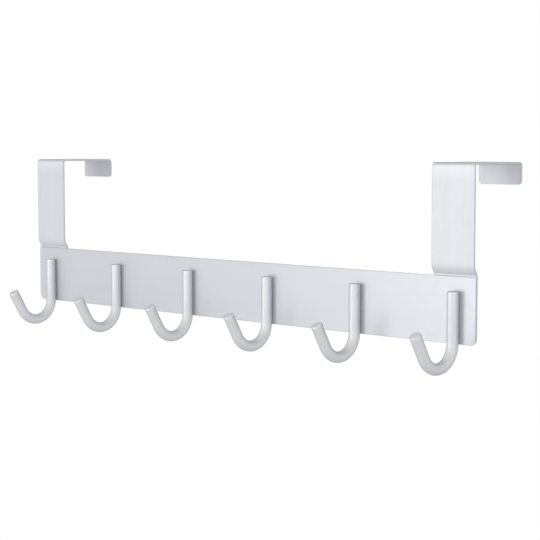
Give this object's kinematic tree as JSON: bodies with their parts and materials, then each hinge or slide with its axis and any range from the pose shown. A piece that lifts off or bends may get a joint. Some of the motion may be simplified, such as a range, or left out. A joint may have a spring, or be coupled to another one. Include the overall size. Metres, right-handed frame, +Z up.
{
  "type": "over-door coat rack",
  "caption": "Over-door coat rack: a flat sheet rail with a row of round rod J hooks, hung from two bent straps that go over a door's top edge.",
  "frame": {"origin": "on the door's top front edge line, midway along the rail: Y 0 is the door's front face and Z 0 its top", "axes": "+X along the rail to the right as seen from the room, +Y into the door, +Z up"},
  "size_m": [0.468, 0.0971, 0.1394],
  "materials": {
    "rail_coat": "satin silver coat",
    "strap_coat": "satin silver coat",
    "hook_coat": "satin silver coat"
  },
  "bodies": {
    "root": {"rail": "rail_coat", "strap_left": "strap_coat", "strap_right": "strap_coat", "hook_1": "hook_coat", "hook_2": "hook_coat", "hook_3": "hook_coat", "hook_4": "hook_coat", "hook_5": "hook_coat", "hook_6": "hook_coat"}
  },
  "joints": []
}
